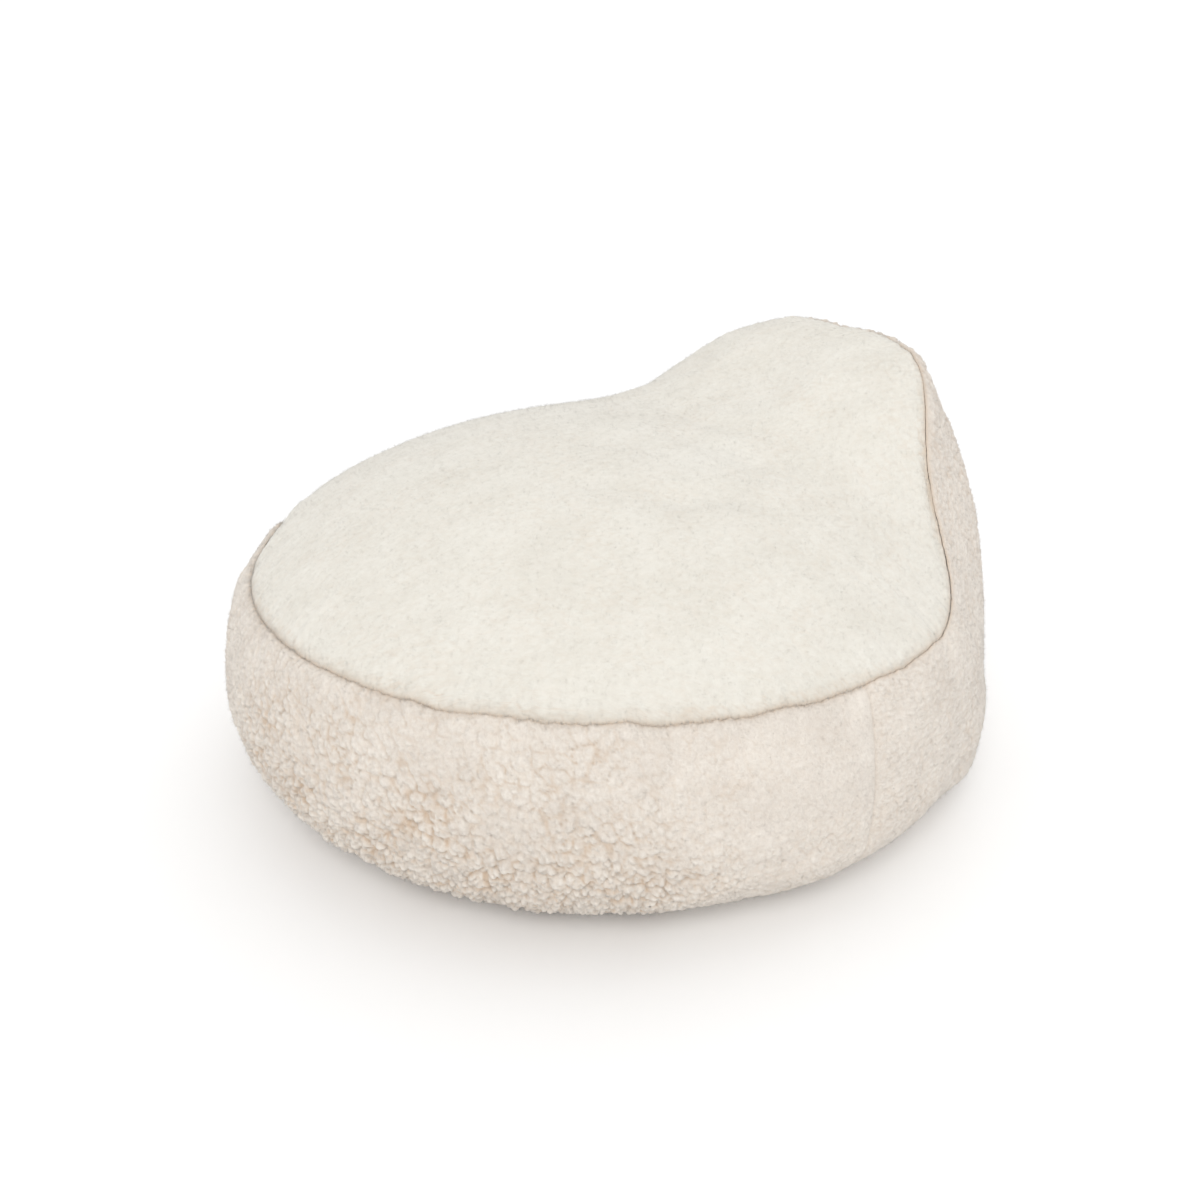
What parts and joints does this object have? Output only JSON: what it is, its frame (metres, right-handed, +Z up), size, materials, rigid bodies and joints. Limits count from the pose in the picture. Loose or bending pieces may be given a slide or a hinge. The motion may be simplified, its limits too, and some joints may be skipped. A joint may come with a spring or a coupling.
{
  "type": "pet cushion bed",
  "caption": "Round stuffed pet cushion bed in fleece with a crowned seat, a low side band, a raised soft back and a zipped cover over a filled liner.",
  "frame": {"origin": "centre of the underside, where the base panel rests on the floor", "axes": "+Z up, +Y towards the raised back, +X to the sitter's left when facing -Y, the low front edge at -Y"},
  "size_m": [0.7235, 0.7349, 0.3682],
  "materials": {
    "plush": "short brushed cream plush",
    "sherpa": "cream fleece with small curls",
    "base_cloth": "plain woven polyester with grip dots on the base",
    "knit_backing": "knitted backing of the fleece",
    "liner_cloth": "white spunbond liner",
    "filling": "white polyester fibre",
    "zip_tape": "herringbone woven tape",
    "zip_coil": "nylon coil",
    "zip_metal": "enamelled die-cast zinc",
    "label_satin": "blank white satin ribbon"
  },
  "bodies": {
    "cushion": {"top_panel": "plush", "front_band": "sherpa", "back_band": "sherpa", "base_panel": "base_cloth", "top_seam_allowance": "knit_backing", "base_seam_allowance": "knit_backing", "side_seam_allowance_right": "knit_backing", "side_seam_allowance_left": "knit_backing", "liner_top": "liner_cloth", "liner_band": "liner_cloth", "liner_base": "liner_cloth", "seat_fill": "filling", "baffle": "liner_cloth", "backrest_fill": "filling", "zip_tape_upper": "zip_tape", "zip_tape_lower": "zip_tape", "zip_welt_upper": "base_cloth", "zip_welt_lower": "base_cloth", "zip_coil_upper": "zip_coil", "zip_coil_lower": "zip_coil", "zip_top_stop": "zip_metal", "zip_bottom_stop": "zip_metal", "care_label": "label_satin"},
    "slider": {"zip_slider": "zip_metal"},
    "pull": {"zip_pull_tab": "zip_metal"}
  },
  "joints": [
    {"name": "slider_travel", "type": "hinge", "parent": "cushion", "child": "slider", "pos_m": [0, 0, 0.062], "axis": [0, 0, 1], "range_deg": [0, 99]},
    {"name": "pull_flip", "type": "hinge", "parent": "slider", "child": "pull", "pos_m": [0.27344, 0.23354, 0.062], "axis": [0, 0, -1], "range_deg": [0, 176]}
  ]
}
